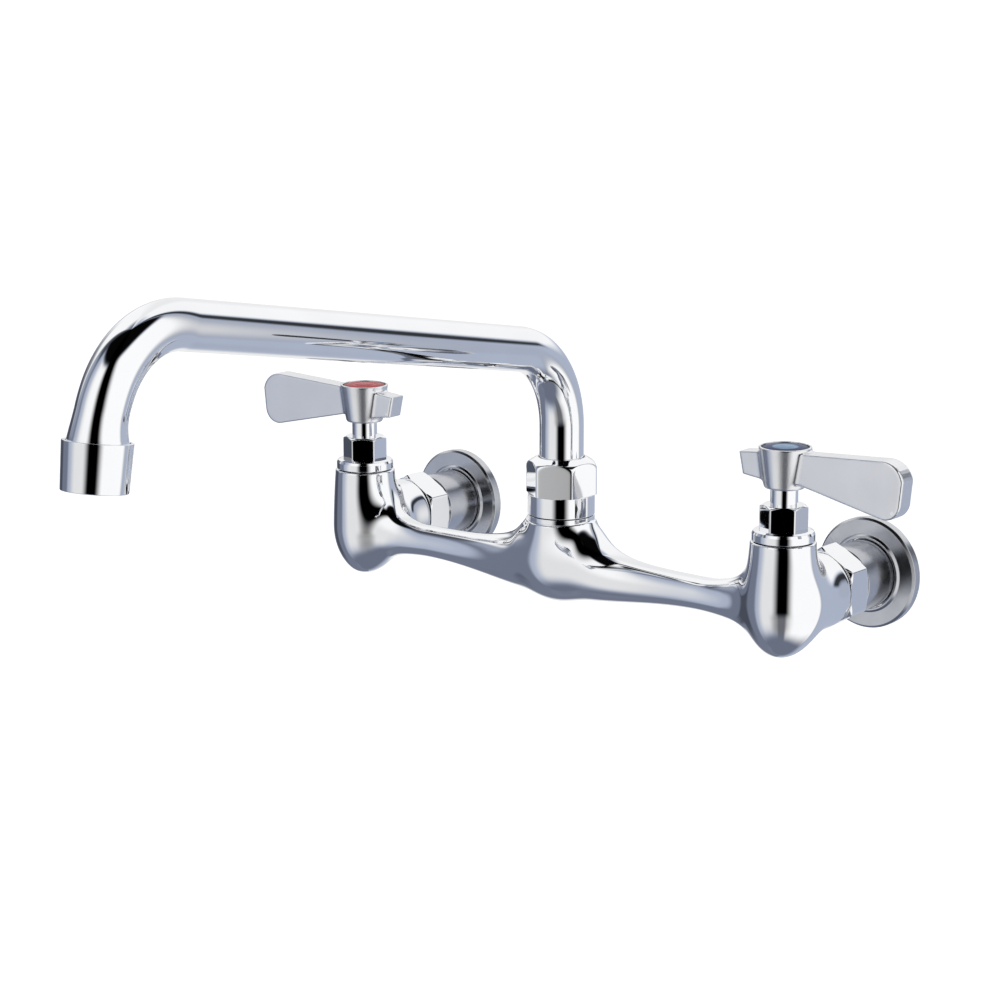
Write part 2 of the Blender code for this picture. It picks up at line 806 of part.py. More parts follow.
def spout_tube(parent):
    """Bent tube: rings along the path, outside and inside, closed at both rims."""
    sides = 20
    bm = bmesh.new()
    walls = []
    for radius in (TUBE_R, TUBE_BORE):
        rings = []
        for reach, height, climb, wider in spout_rings():
            c = math.radians(climb)
            out = Vector((0, -math.sin(c), -math.cos(c)))
            ring = []
            for j in range(sides):
                t = math.tau * j / sides
                at = Vector((0, -reach, height)) + (radius + wider) * (
                    Vector((1, 0, 0)) * math.cos(t) + out * math.sin(t)
                )
                ring.append(bm.verts.new(at))
            rings.append(ring)
        walls.append(rings)
    outside, inside = walls
    for rings in walls:
        for first, second in zip(rings, rings[1:]):
            for j in range(sides):
                bm.faces.new((first[j - 1], first[j], second[j], second[j - 1]))
    for end in (0, -1):
        for j in range(sides):
            bm.faces.new((outside[end][j - 1], outside[end][j], inside[end][j], inside[end][j - 1]))
    return piece("spout_tube", bm, swing_place(), "chrome", parent)


def spout_ferrule(parent):
    """Brass foot brazed on the tube: a flange that the nut holds down, and two seal grooves."""
    flange = POST_TOP + 2.0
    outline = [
        (6.0, 9.0),
        (8.8, 9.0),
        (8.8, 12.9),
        (7.2, 12.9),
        (7.2, 15.1),
        (8.8, 15.1),
        (8.8, 20.9),
        (7.2, 20.9),
        (7.2, 23.1),
        (8.8, 23.1),
        (8.8, flange),
        (10.5, flange),
        (10.5, NUT_TOP - 1.9),
        (TUBE_R + GAP, NUT_TOP - 1.9),
        (TUBE_R + GAP, TUBE_START - GAP),
        (6.0, TUBE_START - GAP),
    ]
    return lathe("spout_ferrule", outline, post_place(), "brass", parent)


def spout_nut():
    """Nut that holds the spout down: domed hexagon above a round skirt."""
    opening = TUBE_R + 0.35
    outline = [
        (opening, NUT_TOP),
        (opening, NUT_TOP - 1.6),
        (NUT_BORE, NUT_TOP - 1.6),
        (NUT_BORE, NUT_BOTTOM),
        (POST_R, NUT_BOTTOM),
        (POST_R, NUT_HEX_BOTTOM),
        (NUT_HEX_R, NUT_HEX_BOTTOM + 0.4),
    ]
    outline += arc((NUT_HEX_R - 4.2, NUT_TOP - 5.2), 4.2, 0, 62, 5)
    outline += [(opening + 0.8, NUT_TOP)]
    obj = lathe("spout_nut", outline, post_place(), "chrome", sides=30)
    tool = flats_tool("spout_nut_flats", NUT_FLATS, NUT_HEX_BOTTOM, NUT_TOP + 2, NUT_TURN, post_place())
    return combine(obj, tool)


def outlet_housing(parent):
    """Flared housing on the tube's end, with a shoulder inside that the washer and insert sit against."""
    top = OUTLET_LAP
    bottom = OUTLET_LAP - OUTLET_LENGTH
    socket = TUBE_R + TUBE_FLARE + GAP
    outline = [
        (socket, top),
        (OUTLET_TOP_R - 0.3, top),
        (OUTLET_TOP_R, top - 0.3),
        (OUTLET_END_R, bottom + 0.5),
        (OUTLET_END_R - 0.5, bottom),
        (9.4, bottom),
        (9.4, -2.6),
        (7.2, -2.6),
        (7.2, -GAP),
        (socket, -GAP),
    ]
    return lathe("outlet_housing", outline, outlet_place(), "chrome", parent, sides=28)


def outlet_washer(parent):
    return lathe("outlet_washer", ring_outline(6.4, 9.1, -4.2, -2.9), outlet_place(), "rubber", parent)


def outlet_insert(parent):
    """Stream former: a cup whose floor has a ring of holes round a centre hole."""
    place = outlet_place()
    outline = [
        (0.0, -6.2),
        (8.2, -6.2),
        (8.2, -4.5),
        (9.1, -4.5),
        (9.1, OUTLET_LAP - OUTLET_LENGTH + 0.8),
        (8.2, OUTLET_LAP - OUTLET_LENGTH + 0.8),
        (8.2, -7.6),
        (0.0, -7.6),
    ]
    obj = lathe("outlet_insert", outline, place, "nylon", parent)
    for k in range(7):
        reach = 0.0 if k == 0 else 5.2
        t = math.tau * k / 6
        at = place @ Matrix.Translation(Vector((reach * math.cos(t), reach * math.sin(t), -7)) * MM)
        bm = bmesh.new()
        bmesh.ops.create_cone(bm, cap_ends=True, segments=10, radius1=1.4, radius2=1.4, depth=6)
        combine(obj, piece(f"stream_hole_{k}", bm, at))
    return obj


def spout():
    """The swinging pieces hang on an empty on the post's axis; the nut stays with the casting."""
    turning = empty("spout_axis", swing_place())
    spout_nut()
    spout_tube(turning)
    spout_ferrule(turning)
    washer = ring_outline(9.2, 10.4, POST_TOP + GAP, POST_TOP + 2.0 - GAP)
    lathe("spout_bearing_washer", washer, post_place(), "nylon")
    for word, height in (("upper", 22.0), ("lower", 14.0)):
        section = round_section(8.2, 0.7, height)
        lathe(f"spout_o_ring_{word}", section, post_place(), "rubber", turning)
    outlet_housing(turning)
    outlet_washer(turning)
    outlet_insert(turning)


def main():
    clear_scene()
    body_casting()
    for prefix, side in (("hot", -1), ("cold", 1)):
        valve(prefix, side)
        inlet(prefix, side)
    spout()


main()
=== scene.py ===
"""Looks of the wall-mounted two-lever faucet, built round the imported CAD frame.

Shapes are worked out in millimetres in the row frame: +X from hot to cold, +Y into the wall, +Z up, and
turned into metres when an object is made. Every piece rides on a CAD body, and none of them moves it.
"""

import json
import math

import bpy
import numpy as np
from mathutils import Matrix, Vector


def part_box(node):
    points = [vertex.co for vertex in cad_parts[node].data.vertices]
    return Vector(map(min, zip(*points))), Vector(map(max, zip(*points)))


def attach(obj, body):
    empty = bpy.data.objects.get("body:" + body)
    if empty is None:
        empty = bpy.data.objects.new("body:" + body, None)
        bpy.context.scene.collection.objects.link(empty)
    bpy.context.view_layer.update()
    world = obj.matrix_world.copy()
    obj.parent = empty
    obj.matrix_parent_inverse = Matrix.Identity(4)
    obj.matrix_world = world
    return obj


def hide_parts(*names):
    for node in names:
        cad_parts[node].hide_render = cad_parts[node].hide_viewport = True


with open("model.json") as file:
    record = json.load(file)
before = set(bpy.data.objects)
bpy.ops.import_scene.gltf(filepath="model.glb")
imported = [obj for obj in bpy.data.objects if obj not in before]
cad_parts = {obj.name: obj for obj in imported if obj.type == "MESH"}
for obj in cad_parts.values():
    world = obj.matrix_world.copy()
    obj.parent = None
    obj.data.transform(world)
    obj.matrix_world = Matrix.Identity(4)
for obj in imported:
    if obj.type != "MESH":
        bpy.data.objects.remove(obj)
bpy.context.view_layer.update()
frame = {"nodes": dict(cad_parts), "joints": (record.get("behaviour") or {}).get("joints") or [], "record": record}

MM = 0.001
TURN = math.tau


# ---------------------------------------------------------------- sizes read from the frame


def box_mm(node):
    low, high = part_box(node)
    return np.array(low) * 1000, np.array(high) * 1000


def middle_mm(node):
    low, high = box_mm(node)
    return (low + high) / 2


def axis_of(node):
    """The upright axis through a node, as a point at height 0."""
    middle = middle_mm(node)
    return np.array((middle[0], middle[1], 0.0))


VALVE = {-1: axis_of("hot_bonnet"), 1: axis_of("cold_bonnet")}
POST = axis_of("spout_nut")
MIDDLE = POST[0]
REACH = (VALVE[1][0] - VALVE[-1][0]) / 2  # the valves' distance from the middle
OUT = -VALVE[1][1]  # the axes' distance from the wall
SWING = frame["joints"][0]["range_deg"]
REST_SWING = -(SWING[0] + SWING[1]) / 2  # the spout's angle from straight ahead, in degrees

# Casting
HOUSING_R = 13.1
HOUSING_TOP_R = 12.0
HOUSING_TOP = 23.1
BULB_BOTTOM = -20.2
BULB_HEIGHT = 19.5
POST_R = 12.9
POST_SEAT = 18.5
POST_GROOVE = 16.2
POST_BOTTOM = -13.9
BOWL_HEIGHT = 16.0
ARM_TOP = 3.9
ARM_BOTTOM = -8.7
ARM_DEPTH = 6.4
BELLY_HALF = 66.0  # how far from the middle the arms' deep belly runs out
FLARE_START = 64.0  # where the arms widen towards the housings
BELL_NECK_R = 14.7
BELL_R = 14.4
BELL_MOUTH = -36.6
ARM_FILLET = 11.0
BELL_FILLET = 11.0
HOUSING_FILLET = 9.0

# Bonnet and lever
NECK_R = 5.05
HEX_TOP = 36.5
HEX_BOTTOM = 27.4
BONNET_SKIRT_R = 8.7
STEM_BORE = 4.0
BONNET_HEX_R = 8.9
BONNET_FLANGE_R = 11.5
BONNET_TURN = {-1: 36.0, 1: 29.5}  # each screws down to where it stops
HUB_TOP_R = 9.7
HUB_BOTTOM_R = 7.4
HUB_BOTTOM = 42.5
BUTTON_R = 8.4
LEVER_TOP = 57.9
LEVER_REACH = 51.0
LEVER_TAIL = 17.5
LEVER_THICK = 8.0
BLADE_TOP = 58.3
BLADE_BOTTOM = 37.2
TAIL_TOP = 54.4
TAIL_BOTTOM = 46.0
HOT_LEVER_TURN = 3.0

# Spout
TUBE_R = 8.5
TUBE_FLARE = 1.2
FLARE_LENGTH = 9.0
TUBE_BORE = 7.2
TUBE_START = 35.0
LEG_TOP = 52.6
BEND_R = 34.0
RUN_RISE = 9.8
RUN = 184.9
NOSE_R = 31.8
NOSE_DROP = 61.0
TIP_R = 44.0
TIP_DROP = 82.0
OUTLET_TOP_R = 11.2
OUTLET_END_R = 10.6
OUTLET_LENGTH = 15.6
OUTLET_LAP = 5.0
STREAM_HOLE_R = 1.4
STREAM_RING_R = 5.2
NUT_TOP = 41.1
NUT_HEX_BOTTOM = 26.3
NUT_HEX_R = 14.2
NUT_FLATS = 24.3
NUT_BOTTOM = 18.8
NUT_BORE = 10.9
NUT_TURN = -35.0

# Inlets
TAIL_END = -28.2
INLET_NUT_FRONT = -36.3
INLET_NUT_BACK = -24.9
INLET_NUT_R = 16.0
SHANK_R = 13.2
SHANK_FRONT = -22.6
SHANK_NECK_R = 8.7
SHANK_TAIL_R = 10.7
WATERWAY_R = 6.5
PIPE_BORE = 10.4
PIPE_DEPTH = 16.0
FLANGE_R = 21.3
FLANGE_THICK = 4.4
GASKET_THICK = 1.5
GASKET_R = 17.7
RECESS_R = 18.0
RECESS_DEPTH = 1.8
GAP = 0.3

FINE = 144  # sides of a round piece


# ---------------------------------------------------------------- shapes: (points, faces, normals)


def weighted_normals(points, faces):
    """Normals at the points. A face counts by its area, so that flats stay flat beside a round edge."""
    normals = np.zeros_like(points)
    corners = points[faces]
    across = np.cross(corners[:, 2] - corners[:, 0], corners[:, 3] - corners[:, 1])
    for k in range(4):
        np.add.at(normals, faces[:, k], across)
    length = np.linalg.norm(normals, axis=1, keepdims=True)
    return normals / np.maximum(length, 1e-12)


def moved(shape, matrix):
    points, faces, normals = shape
    turn = np.array(matrix.to_3x3())
    at = np.array(matrix.translation)
    return points @ turn.T + at, faces, normals @ turn.T


def together(*shapes):
    """Several shapes as one."""
    points, faces, normals, count = [], [], [], 0
    for p, f, n in shapes:
        points.append(p)
        faces.append(f + count)
        normals.append(n)
        count += len(p)
    return np.concatenate(points), np.concatenate(faces), np.concatenate(normals)


def rounded(outline, radius, steps=4, closed=True):
    """A polyline's corners replaced by short arcs, never longer than 45% of the shorter side."""
    outline = [np.array(p, float) for p in outline]
    count = len(outline)
    result = []
    for k, corner in enumerate(outline):
        if not closed and k in (0, count - 1):
            result.append(corner)
            continue
        before = outline[k - 1] - corner
        after = outline[(k + 1) % count] - corner
        near = min(np.linalg.norm(before), np.linalg.norm(after))
        before /= np.linalg.norm(before)
        after /= np.linalg.norm(after)
        half = math.acos(max(-1.0, min(1.0, float(before @ after)))) / 2
        if half > math.radians(84):
            result.append(corner)
            continue
        cut = min(radius / math.tan(half), 0.45 * near)
        for j in range(steps + 1):
            t = j / steps
            result.append(corner + cut * ((1 - t) ** 2 * before + t**2 * after))
    return result


def subdivided(outline, longest, closed=True):
    """Extra points on long sides."""
    result = []
    pairs = zip(outline, outline[1:] + outline[:1] if closed else outline[1:])
    for a, b in pairs:
        parts = max(1, int(np.linalg.norm(np.array(b) - np.array(a)) / longest))
        result += [np.array(a) + (np.array(b) - np.array(a)) * k / parts for k in range(parts)]
    if not closed:
        result.append(np.array(outline[-1]))
    return result


def grid_faces(rows, columns, close_rows, close_columns):
    r = np.arange(rows if close_rows else rows - 1)
    c = np.arange(columns if close_columns else columns - 1)
    i, j = np.meshgrid(r, c, indexing="ij")
    i2, j2 = (i + 1) % rows, (j + 1) % columns
    faces = np.stack((i * columns + j, i * columns + j2, i2 * columns + j2, i2 * columns + j), -1)
    return faces.reshape(-1, 4)


def spun(outline, edge=0.25, sides=FINE, closed=True, flats=None, turn=0.0, sharp=70.0):
    """A turned piece about local z. With flats, its radius is also cut to a hexagon that far across."""
    outline = rounded(outline, edge, closed=closed)
    if flats:
        outline = subdivided(outline, 0.6, closed)
        sides = 2 * sides
    profile = np.array(outline)
    angles = np.arange(sides) * TURN / sides
    radius = np.repeat(profile[:, :1], sides, axis=1)
    if flats:
        planes = [
            np.maximum(np.cos(angles - math.radians(turn + 30 + 60 * k)), 1e-3) * 2 / flats
            for k in range(6)
        ]
        hexagon = np.sum([p**sharp for p in planes], axis=0) ** (-1 / sharp)
        allowed = hexagon[None, :]
        radius = (np.maximum(radius, 1e-3) ** -sharp + allowed**-sharp) ** (-1 / sharp)
    x = radius * np.cos(angles)
    y = radius * np.sin(angles)
    z = np.repeat(profile[:, 1:], sides, axis=1)
    points = np.stack((x, y, z), -1).reshape(-1, 3)
    faces = grid_faces(len(profile), sides, closed, True)
    return points, faces, weighted_normals(points, faces)


def smooth_min(a, b, reach):
    """Union of two fields with a fillet, smooth to the second derivative."""
    h = np.maximum(reach - np.abs(a - b), 0) / reach
    return np.minimum(a, b) - h**3 * reach / 6


def smooth_max(a, b, reach):
    return -smooth_min(-a, -b, reach)


def skin(field, low, high, step, rounds=6, soften=0.01):
    """The zero surface of a field in a box: surface nets, then each point is drawn onto the surface.

    The shading normals are taken over the soften distance, which irons out faint creases.
    """
    axes = [np.arange(a, b + step, step) for a, b in zip(low, high)]
    grid = np.meshgrid(*axes, indexing="ij")
    value = field(*grid)
    inside = value < 0
    cells = np.array(value.shape) - 1
    total = np.zeros((*cells, 3))
    count = np.zeros(cells)
    for axis in range(3):
        others = [k for k in range(3) if k != axis]
        first = [slice(None)] * 3
        second = [slice(None)] * 3
        first[axis] = slice(None, -1)
        second[axis] = slice(1, None)
        a, b = value[tuple(first)], value[tuple(second)]
        crossing = (a < 0) != (b < 0)
        share = np.where(crossing, a / np.where(crossing, a - b, 1), 0)
        place = np.stack([g[tuple(first)] for g in grid], -1)
        place[..., axis] += share * step
        place *= crossing[..., None]
        for u in (0, 1):
            for v in (0, 1):
                take = [slice(None)] * 3
                for other, shift in zip(others, (u, v)):
                    take[other] = slice(shift, shift + cells[other])
                total += place[tuple(take)]
                count += crossing[tuple(take)]
    mixed = count > 0
    index = np.full(cells, -1)
    index[mixed] = np.arange(mixed.sum())
    points = total[mixed] / count[mixed][:, None]
    faces = []
    for axis in range(3):
        u, v = [k for k in range(3) if k != axis]
        first = [slice(1, -1)] * 3
        second = [slice(1, -1)] * 3
        first[axis] = slice(0, cells[axis])
        second[axis] = slice(1, cells[axis] + 1)
        a, b = inside[tuple(first)], inside[tuple(second)]
        ring = []
        for du, dv in ((0, 0), (1, 0), (1, 1), (0, 1)):
            take = [slice(None)] * 3
            take[u] = slice(du, du + a.shape[u])
            take[v] = slice(dv, dv + a.shape[v])
            ring.append(index[tuple(take)])
        quads = np.stack(ring, -1)
        flip = axis == 1
        outward = quads[a & ~b]
        inward = quads[b & ~a]
        faces.append(outward[:, ::-1] if flip else outward)
        faces.append(inward if flip else inward[:, ::-1])
    faces = np.concatenate(faces)
    edges = np.concatenate([faces[:, [k, (k + 1) % 4]] for k in range(4)])
    for turn in range(rounds):
        around = np.zeros_like(points)
        touching = np.zeros(len(points))
        np.add.at(around, edges[:, 0], points[edges[:, 1]])
        np.add.at(touching, edges[:, 0], 1)
        np.add.at(around, edges[:, 1], points[edges[:, 0]])
        np.add.at(touching, edges[:, 1], 1)
        if turn < rounds - 2:
            points = points + 0.5 * (around / touching[:, None] - points)
        slope = gradient(field, points)
        size = np.maximum((slope**2).sum(1), 0.05)
        pull = np.clip(field(*points.T) / size, -step, step)
        points = points - slope * pull[:, None]
    normals = gradient(field, points, soften)
    normals /= np.maximum(np.linalg.norm(normals, axis=1, keepdims=True), 1e-9)
    return points, faces, normals


def gradient(field, points, reach=0.01):
    parts = []
    for axis in range(3):
        shift = np.zeros(3)
        shift[axis] = reach
        ahead, behind = field(*(points + shift).T), field(*(points - shift).T)
        parts.append((ahead - behind) / (2 * reach))
    return np.stack(parts, -1)


def show(name, shape, material, body, origin, nodes=()):
    """Makes the object, riding on its CAD body and standing for the nodes it replaces."""
    points, faces, normals = shape
    origin = np.array(origin, float)
    mesh = bpy.data.meshes.new(name)
    mesh.from_pydata(((points - origin) * MM).tolist(), [], faces.tolist())
    mesh.validate()
    mesh.shade_smooth()
    if len(mesh.vertices) == len(points):
        mesh.normals_split_custom_set_from_vertices(normals.tolist())
    mesh.materials.append(material)
    obj = bpy.data.objects.new(name, mesh)
    bpy.context.scene.collection.objects.link(obj)
    obj.location = origin * MM
    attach(obj, body)
    if nodes:
        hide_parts(*nodes)
    return obj


# ---------------------------------------------------------------- materials


class Nodes:
    """Short hand for building a material's node tree."""

    def __init__(self, name):
        self.material = bpy.data.materials.new(name)
        self.material.use_nodes = True
        self.tree = self.material.node_tree
        self.shader = self.tree.nodes["Principled BSDF"]
        self.place = self.add("ShaderNodeTexCoord").outputs["Object"]

    def add(self, kind, **settings):
        node = self.tree.nodes.new(kind)
        for key, value in settings.items():
            if key in node.bl_rna.properties:
                setattr(node, key, value)
            else:
                socket = node.inputs[key.replace("_", " ").title()]
                if isinstance(value, bpy.types.NodeSocket):
                    self.tree.links.new(value, socket)
                else:
                    socket.default_value = value
        return node

    def link(self, source, socket):
        self.tree.links.new(source, socket)

    def noise(self, scale, detail=2.0, stretch=(1, 1, 1), roughness=0.5):
        scaled = self.add("ShaderNodeMapping")
        self.link(self.place, scaled.inputs["Vector"])
        scaled.inputs["Scale"].default_value = stretch
        node = self.add("ShaderNodeTexNoise")
        self.link(scaled.outputs["Vector"], node.inputs["Vector"])
        node.inputs["Scale"].default_value = scale
        node.inputs["Detail"].default_value = detail
        node.inputs["Roughness"].default_value = roughness
        return node.outputs["Fac"]

    def ramp(self, source, *stops):
        node = self.add("ShaderNodeValToRGB")
        self.link(source, node.inputs["Fac"])
        ramp = node.color_ramp
        while len(ramp.elements) < len(stops):
            ramp.elements.new(0.5)
        for element, (at, colour) in zip(ramp.elements, stops):
            element.position = at
            if isinstance(colour, (int, float)):
                colour = (colour, colour, colour)
            element.color = (*colour, 1.0)
        return node.outputs["Color"]

    def mix(self, share, a, b, kind="MIX"):
        node = self.add("ShaderNodeMix", data_type="RGBA", blend_type=kind)
        for socket, value in ((node.inputs[0], share), (node.inputs[6], a), (node.inputs[7], b)):
            if isinstance(value, bpy.types.NodeSocket):
                self.link(value, socket)
            elif isinstance(value, (int, float)):
                socket.default_value = value
            else:
                socket.default_value = (*value, 1.0)
        return node.outputs[2]

    def worn_edge(self, low=0.52, high=0.62):
        """1 on convex edges, from how sharply the surface bends."""
        bend = self.add("ShaderNodeNewGeometry").outputs["Pointiness"]
        return self.ramp(bend, (low, 0.0), (high, 1.0))

    def bump(self, source, strength, distance):
        node = self.add("ShaderNodeBump")
        self.link(source, node.inputs["Height"])
        node.inputs["Strength"].default_value = strength
        node.inputs["Distance"].default_value = distance
        return node.outputs["Normal"]

    def done(self, **inputs):
        for key, value in inputs.items():
            socket = self.shader.inputs[key.replace("_", " ").title()]
            if isinstance(value, bpy.types.NodeSocket):
                self.link(value, socket)
            elif isinstance(value, (int, float)):
                socket.default_value = value
            else:
                socket.default_value = (*value, 1.0)
        return self.material


def polished_chrome(name="chrome_plate", base=(0.93, 0.935, 0.95), rough=0.035, wave=0.012):
    """Mirror plate: a trace of haze, hairline wipe marks and the faint waviness of hand polishing."""
    n = Nodes(name)
    haze = n.noise(35.0, 3.0)
    hairline = n.noise(900.0, 2.0, stretch=(1.0, 1.0, 0.08))
    colour = n.mix(n.ramp(haze, (0.35, 0.0), (0.7, 1.0)), base, tuple(0.965 * c for c in base))
    colour = n.mix(n.worn_edge(0.56, 0.75), colour, (0.80, 0.80, 0.80))
    roughness = n.ramp(haze, (0.3, rough * 0.6), (0.75, rough * 1.5))
    height = n.mix(0.15, n.noise(90.0, 1.0), hairline)
    return n.done(
        Base_Color=colour, Metallic=1.0, Roughness=roughness, Normal=n.bump(height, wave, 0.0004)
    )


def satin_chrome(name="satin_plate", base=(0.86, 0.865, 0.885)):
    """Tumbled cast lever under thin plate: soft sheen with a fine grain."""
    n = Nodes(name)
    broad = n.noise(60.0, 4.0)
    grain = n.noise(1500.0, 3.0)
    colour = n.mix(n.ramp(broad, (0.3, 0.0), (0.7, 1.0)), base, tuple(0.94 * c for c in base))
    colour = n.mix(n.worn_edge(0.53, 0.60), colour, (0.95, 0.95, 0.96))
    roughness = n.ramp(broad, (0.3, 0.17), (0.75, 0.25))
    return n.done(
        Base_Color=colour, Metallic=1.0, Roughness=roughness, Normal=n.bump(grain, 0.10, 0.0002)
    )


def turned_plate(name="flange_plate", base=(0.63, 0.64, 0.67)):
    """Dull plated sheet with the faint rings of its turning and a mottled gloss."""
    n = Nodes(name)
    mottle = n.noise(50.0, 4.0, roughness=0.6)
    wave = n.add("ShaderNodeTexWave", wave_type="RINGS", rings_direction="Y")
    n.link(n.place, wave.inputs["Vector"])
    wave.inputs["Scale"].default_value = 900.0
    wave.inputs["Distortion"].default_value = 1.5
    colour = n.mix(n.ramp(mottle, (0.35, 0.0), (0.7, 1.0)), base, tuple(0.86 * c for c in base))
    colour = n.mix(n.worn_edge(0.54, 0.66), colour, (0.85, 0.85, 0.86))
    roughness = n.ramp(mottle, (0.3, 0.13), (0.75, 0.24))
    height = n.mix(0.35, mottle, wave.outputs["Fac"])
    return n.done(
        Base_Color=colour, Metallic=1.0, Roughness=roughness, Normal=n.bump(height, 0.05, 0.0003)
    )


def index_plastic(name, ring, centre, deep):
    """Glossy moulded button: a deep ring round a lighter middle, with a little colour drift. The lighter middle is
    a painted highlight, and the colour turns darker again at the outer edge.
    """
    n = Nodes(name)
    split = n.add("ShaderNodeSeparateXYZ")
    n.link(n.place, split.inputs["Vector"])
    flat = n.add("ShaderNodeCombineXYZ")
    n.link(split.outputs["X"], flat.inputs["X"])
    n.link(split.outputs["Y"], flat.inputs["Y"])
    reach = n.add("ShaderNodeVectorMath", operation="LENGTH")
    n.link(flat.outputs["Vector"], reach.inputs[0])
    radius = n.add("ShaderNodeMath", operation="MULTIPLY")
    n.link(reach.outputs["Value"], radius.inputs[0])
    radius.inputs[1].default_value = 1 / (HUB_TOP_R * MM)
    # the ring colour is the button's own; the lighter middle colour is a painted highlight, and past 0.80 of the
    # hub's radius the colour turns darker towards the edge
    ring_with_painted_highlight = n.ramp(
        radius.outputs[0], (0.0, centre), (0.42, centre), (0.52, ring), (0.74, ring), (0.80, deep)
    )
    drift = n.noise(400.0, 3.0)
    colour = n.mix(n.ramp(drift, (0.35, 0.0), (0.7, 0.25)), ring_with_painted_highlight, tuple(0.8 * c for c in ring))
    roughness = n.ramp(drift, (0.3, 0.10), (0.75, 0.22))
    n.shader.inputs["Specular IOR Level"].default_value = 0.03
    return n.done(Base_Color=colour, Roughness=roughness, Normal=n.bump(drift, 0.05, 0.0002))


def brass_metal(name="turned_brass"):
    n = Nodes(name)
    tarnish = n.noise(150.0, 4.0)
    lathe = n.noise(60.0, 2.0, stretch=(1.0, 1.0, 60.0))
    colour = n.mix(n.ramp(tarnish, (0.3, 0.0), (0.75, 1.0)), (0.78, 0.58, 0.28), (0.55, 0.38, 0.17))
    roughness = n.ramp(tarnish, (0.3, 0.22), (0.75, 0.40))
    return n.done(
        Base_Color=colour, Metallic=1.0, Roughness=roughness, Normal=n.bump(lathe, 0.15, 0.0002)
    )


def black_rubber(name="black_rubber"):
    n = Nodes(name)
    bloom = n.noise(300.0, 4.0)
    grain = n.noise(2500.0, 2.0)
    colour = n.mix(n.ramp(bloom, (0.35, 0.0), (0.75, 1.0)), (0.018, 0.018, 0.019), (0.045, 0.045, 0.047))
    roughness = n.ramp(bloom, (0.3, 0.55), (0.75, 0.75))
    return n.done(Base_Color=colour, Roughness=roughness, Normal=n.bump(grain, 0.2, 0.0002))


def pale_plastic(name, base, rough):
    """Moulded or ground pale part: slight mottling and a fine tooth."""
    n = Nodes(name)
    mottle = n.noise(250.0, 4.0)
    tooth = n.noise(3000.0, 2.0)
    colour = n.mix(n.ramp(mottle, (0.35, 0.0), (0.75, 1.0)), base, tuple(0.9 * c for c in base))
    colour = n.mix(n.worn_edge(), colour, tuple(0.8 * c for c in base))
    roughness = n.ramp(mottle, (0.3, rough), (0.75, rough + 0.12))
    return n.done(Base_Color=colour, Roughness=roughness, Normal=n.bump(tooth, 0.1, 0.0002))


def steel_metal(name="screw_steel"):
    n = Nodes(name)
    mottle = n.noise(400.0, 3.0)
    colour = n.mix(n.ramp(mottle, (0.35, 0.0), (0.7, 1.0)), (0.62, 0.61, 0.60), (0.48, 0.47, 0.46))
    roughness = n.ramp(mottle, (0.3, 0.25), (0.75, 0.40))
    return n.done(
        Base_Color=colour, Metallic=1.0, Roughness=roughness, Normal=n.bump(mottle, 0.1, 0.0002)
    )


CHROME = polished_chrome()
SATIN = satin_chrome()
FLANGE = turned_plate()
SHANK = turned_plate("shank_plate", (0.58, 0.59, 0.63))
# each button: its own colour for the ring, a lighter painted highlight for the middle, and a darker colour for the
# edge
HOT = index_plastic("hot_index_gloss", (0.62, 0.015, 0.03), (0.70, 0.10, 0.11), (0.22, 0.005, 0.01))
COLD = index_plastic("cold_index_gloss", (0.015, 0.05, 0.20), (0.38, 0.60, 0.85), (0.005, 0.012, 0.06))
BRASS = brass_metal()
RUBBER = black_rubber()
NYLON = pale_plastic("outlet_nylon", (0.78, 0.77, 0.72), 0.38)
CERAMIC = pale_plastic("ground_ceramic", (0.85, 0.85, 0.82), 0.18)
STEEL = steel_metal()
BY_SLOT = {
    "chrome": CHROME,
    "satin_chrome": SATIN,
    "brass": BRASS,
    "steel": STEEL,
    "ceramic": CERAMIC,
    "rubber": RUBBER,
    "nylon": NYLON,
    "hot_index": HOT,
    "cold_index": COLD,
}


def dress_cad_nodes():
    """Every CAD node that stays in view or inside takes the material of its slot."""
    for part in frame["record"]["subparts"]:
        mesh = frame["nodes"][part["node"]].data
        mesh.materials.clear()
        mesh.materials.append(BY_SLOT[part["material_slot"]])


# ---------------------------------------------------------------- casting


def upright(rho, z, radius, bottom, height):
    """A round column on a half ellipsoid that is this high, its lowest point at bottom."""
    middle = bottom + height
    q = np.sqrt((rho / radius) ** 2 + ((z - middle) / height) ** 2)
    slope = np.sqrt((rho / radius**2) ** 2 + ((z - middle) / height**2) ** 2)
    low = (q - 1) * q / np.maximum(slope, 1e-6)
    return np.where(z < middle, low, rho - radius)


def housing_field(x, y, z):
    """Egg-shaped below, drawn in a little towards its faced top."""
    rho = np.hypot(np.abs(x - MIDDLE) - REACH, y + OUT)
    middle = BULB_BOTTOM + BULB_HEIGHT
    up = np.clip((z - middle) / (HOUSING_TOP - middle), 0, 1)
    radius = HOUSING_R - (HOUSING_R - HOUSING_TOP_R) * up**1.5
    side = upright(rho + HOUSING_R - radius, z, HOUSING_R, BULB_BOTTOM, BULB_HEIGHT)
    return smooth_max(side, z - HOUSING_TOP, 1.1)


def bell_field(x, y, z):
    """The flare from a housing back to the coupling nut."""
    rho = np.hypot(np.abs(x - MIDDLE) - REACH, z)
    along = np.clip((y + OUT) / (BELL_MOUTH + OUT), 0, 1)
    radius = BELL_NECK_R + (BELL_R - BELL_NECK_R) * along
    return smooth_max(smooth_max(rho - radius, y - BELL_MOUTH, 2.2), -OUT - y, 6.0)


def post_field(x, y, z):
    rho = np.hypot(x - MIDDLE, y + OUT)
    side = upright(rho, z, POST_R, POST_BOTTOM, BOWL_HEIGHT)
    return smooth_max(side, z - (POST_GROOVE - 0.3), 0.3)


